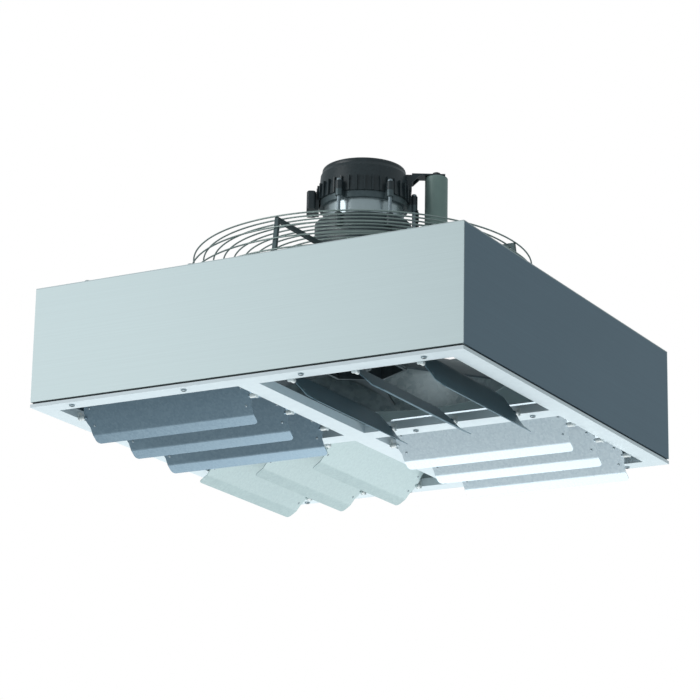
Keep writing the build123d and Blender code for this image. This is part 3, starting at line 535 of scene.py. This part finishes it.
@dataclass
class Louvres:
    """The twelve louvres' rivets, two at each end, on the side of the pin's tab."""

    opening_outer: float = 0.3196
    opening_inner: float = 0.017
    rivet_radius: float = 0.0019
    rivet_height: float = 0.0008
    rivet_setback: float = 0.022
    rivet_spread: float = 0.014
    sheet: float = 0.001
    tilts: dict[str, tuple[float, ...]] = field(default_factory=lambda: {
        "front_right": (40.5, 46.5, 34.5), "front_left": (36.0, 36.0, 36.0),
        "rear_left": (39.0, 39.0, 39.0), "rear_right": (38.5, 38.5, 38.5)})
    leans: dict[str, Vector] = field(default_factory=lambda: {
        "front_right": Vector((1, 0, 0)), "front_left": Vector((0, 1, 0)),
        "rear_left": Vector((-1, 0, 0)), "rear_right": Vector((0, 1, 0))})

    def build(self) -> None:
        """Rivets every louvre from its own tilt and its own axis."""
        pivots = {j["child"]: Vector(j["pos_m"]) for j in frame["joints"] if j["child"].startswith("louvre_")}
        for quarter, tilts in self.tilts.items():
            for number, tilt in enumerate(tilts, start=1):
                name = f"louvre_{quarter}_{number}"
                self._rivet(name, pivots[name], self.leans[quarter], math.radians(tilt))

    def _rivet(self, name: str, pivot: Vector, lean: Vector, tilt: float) -> None:
        """Puts the rivets of one louvre on both faces of its sheet.

        Args:
            name: The louvre's body and node.
            pivot: The middle of its axis.
            lean: The way its lower half leans.
            tilt: Its angle from the vertical.
        """
        down = lean * math.sin(tilt) - Vector((0, 0, math.cos(tilt)))
        normal = lean * math.cos(tilt) + Vector((0, 0, math.sin(tilt)))
        along = lean.cross(Vector((0, 0, 1)))
        reach = (self.opening_outer - self.opening_inner) / 2 - self.rivet_setback
        points, aims = [], []
        for end in (-1, 1):
            for spread in (-1, 1):
                for face in (-1, 1):
                    spot = pivot + along * end * reach + down * spread * self.rivet_spread
                    points.append(spot + normal * face * self.sheet / 2)
                    aims.append(normal * face)
        size = Vector((self.rivet_radius, self.rivet_radius, self.rivet_height))
        rivets = Repeater(f"{name}_rivets", HeadShape.DOME, size, SCREW_ZINC).place(name, points, aims)


@dataclass
class Screws:
    """Painted shade for the cross recesses of the pan-head screws: flat dark crosses on the heads."""

    half: float = 0.35
    face_level: float = -0.18
    head_height: float = 0.0026
    inset: float = 0.012
    rows: tuple[float, ...] = (-0.285, -0.095, 0.095, 0.285)
    recess: float = 0.0024
    proud: float = 0.0001

    def build(self) -> None:
        """Makes the flat dark crosses of painted shade that stand for the recesses of the face screws."""
        line = self.half - self.inset
        level = self.face_level - self.head_height
        points = [Vector((x, y, level)) for x in self.rows for y in (-line, 0.0, line)]
        size = Vector((self.recess, self.recess, 2 * self.proud))
        aims = [Vector((0, 0, -1))] * len(points)
        # Painted shade: each cross is a dark mark only 0.2 mm thick, standing for the shade inside a screw's
        # recess.
        recesses = Repeater("face_screw_recesses", HeadShape.CROSS, size, RECESS_SHADE)
        marks = recesses.place(CASING, points, aims)


class Studio:
    """The floor, the lamps, the world and the camera."""

    camera_place = Vector((1.9101, -3.4211, -1.1933))
    camera_yaw = -29.42
    camera_pitch = 16.33
    camera_roll = 1.05
    focal_pixels = 2714.3
    sensor = 36.0
    floor_level = -2.6
    floor_half = 12.0
    floor_colour = (0.86, 0.88, 0.88, 1)
    world_colour = (0.88, 0.97, 1.0, 1)
    world_strength = 0.42
    lamps = (
        ("key_lamp", Vector((-2.2, -3.4, 0.6)), 2.4, 56),
        ("low_lamp", Vector((-0.9, 0.5, -2.3)), 1.3, 38),
        ("rear_fill", Vector((1.1, 2.0, -1.5)), 1.2, 18),
    )

    def build(self) -> None:
        """Makes the whole studio."""
        self._camera()
        self._world()
        self._floor()
        for name, place, size, power in self.lamps:
            self._lamp(name, place, size, power)
        bpy.context.scene.view_settings.view_transform = "Standard"

    def _camera(self) -> None:
        """Stands the camera where the photograph was taken from."""
        yaw, pitch, roll = (math.radians(v) for v in (self.camera_yaw, self.camera_pitch, self.camera_roll))
        ahead = Vector((math.sin(yaw) * math.cos(pitch), math.cos(yaw) * math.cos(pitch), math.sin(pitch)))
        level_right = Vector((math.cos(yaw), -math.sin(yaw), 0))
        level_up = level_right.cross(ahead)
        right = level_right * math.cos(roll) + level_up * math.sin(roll)
        up = level_up * math.cos(roll) - level_right * math.sin(roll)
        lens = bpy.data.cameras.new("photo_camera")
        lens.sensor_width = self.sensor
        lens.lens = self.focal_pixels * self.sensor / PHOTO_WIDTH
        lens.clip_end = 100
        camera = bpy.data.objects.new("photo_camera", lens)
        turn = Matrix((right, up, -ahead)).transposed().to_4x4()
        camera.matrix_world = Matrix.Translation(self.camera_place) @ turn
        bpy.context.collection.objects.link(camera)
        bpy.context.scene.camera = camera

    def _world(self) -> None:
        """Lights the object evenly, with white behind it for the camera."""
        world = bpy.data.worlds.new("studio_world")
        world.use_nodes = True
        nodes, links = world.node_tree.nodes, world.node_tree.links
        back = nodes["Background"]
        back.inputs["Color"].default_value = self.world_colour
        back.inputs["Strength"].default_value = self.world_strength
        white = nodes.new("ShaderNodeBackground")
        white.inputs["Color"].default_value = (1, 1, 1, 1)
        rays = nodes.new("ShaderNodeLightPath")
        mix = nodes.new("ShaderNodeMixShader")
        links.new(rays.outputs["Is Camera Ray"], mix.inputs[0])
        links.new(back.outputs[0], mix.inputs[1])
        links.new(white.outputs[0], mix.inputs[2])
        links.new(mix.outputs[0], nodes["World Output"].inputs["Surface"])
        bpy.context.scene.world = world

    def _floor(self) -> None:
        """Lays the pale floor well below the hanging fan."""
        h, z = self.floor_half, self.floor_level
        mesh = bpy.data.meshes.new("pale_floor")
        mesh.from_pydata([(-h, -h, z), (h, -h, z), (h, h, z), (-h, h, z)], [], [(0, 1, 2, 3)])
        floor = bpy.data.objects.new("pale_floor", mesh)
        bpy.context.collection.objects.link(floor)
        paint = bpy.data.materials.new("pale_floor")
        paint.use_nodes = True
        shader = paint.node_tree.nodes["Principled BSDF"]
        shader.inputs["Base Color"].default_value = self.floor_colour
        shader.inputs["Roughness"].default_value = 0.9
        mesh.materials.append(paint)

    def _lamp(self, name: str, place: Vector, size: float, power: float) -> None:
        """Adds one soft square lamp that faces the fan.

        Args:
            name: The lamp's name.
            place: Where it stands.
            size: Its side.
            power: Its power in watts.
        """
        light = bpy.data.lights.new(name, "AREA")
        light.size = size
        light.energy = power
        lamp = bpy.data.objects.new(name, light)
        lamp.location = place
        lamp.rotation_euler = (-place).to_track_quat("-Z", "Y").to_euler()
        bpy.context.collection.objects.link(lamp)


def dress_nodes() -> None:
    """Gives every node of the frame its finish."""
    for name, node in frame["nodes"].items():
        finish = finish_of(name)
        if node.material_slots:
            for slot in node.material_slots:
                slot.material = finish.material()
        else:
            node.data.materials.append(finish.material())
        log.info("%s wears %s", name, finish.name)


def main() -> None:
    """Dresses the fan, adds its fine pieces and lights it."""
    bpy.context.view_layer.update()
    Studio().build()
    dress_nodes()
    Guard().build()
    Louvres().build()
    Screws().build()


if __name__ == "__main__":
    main()
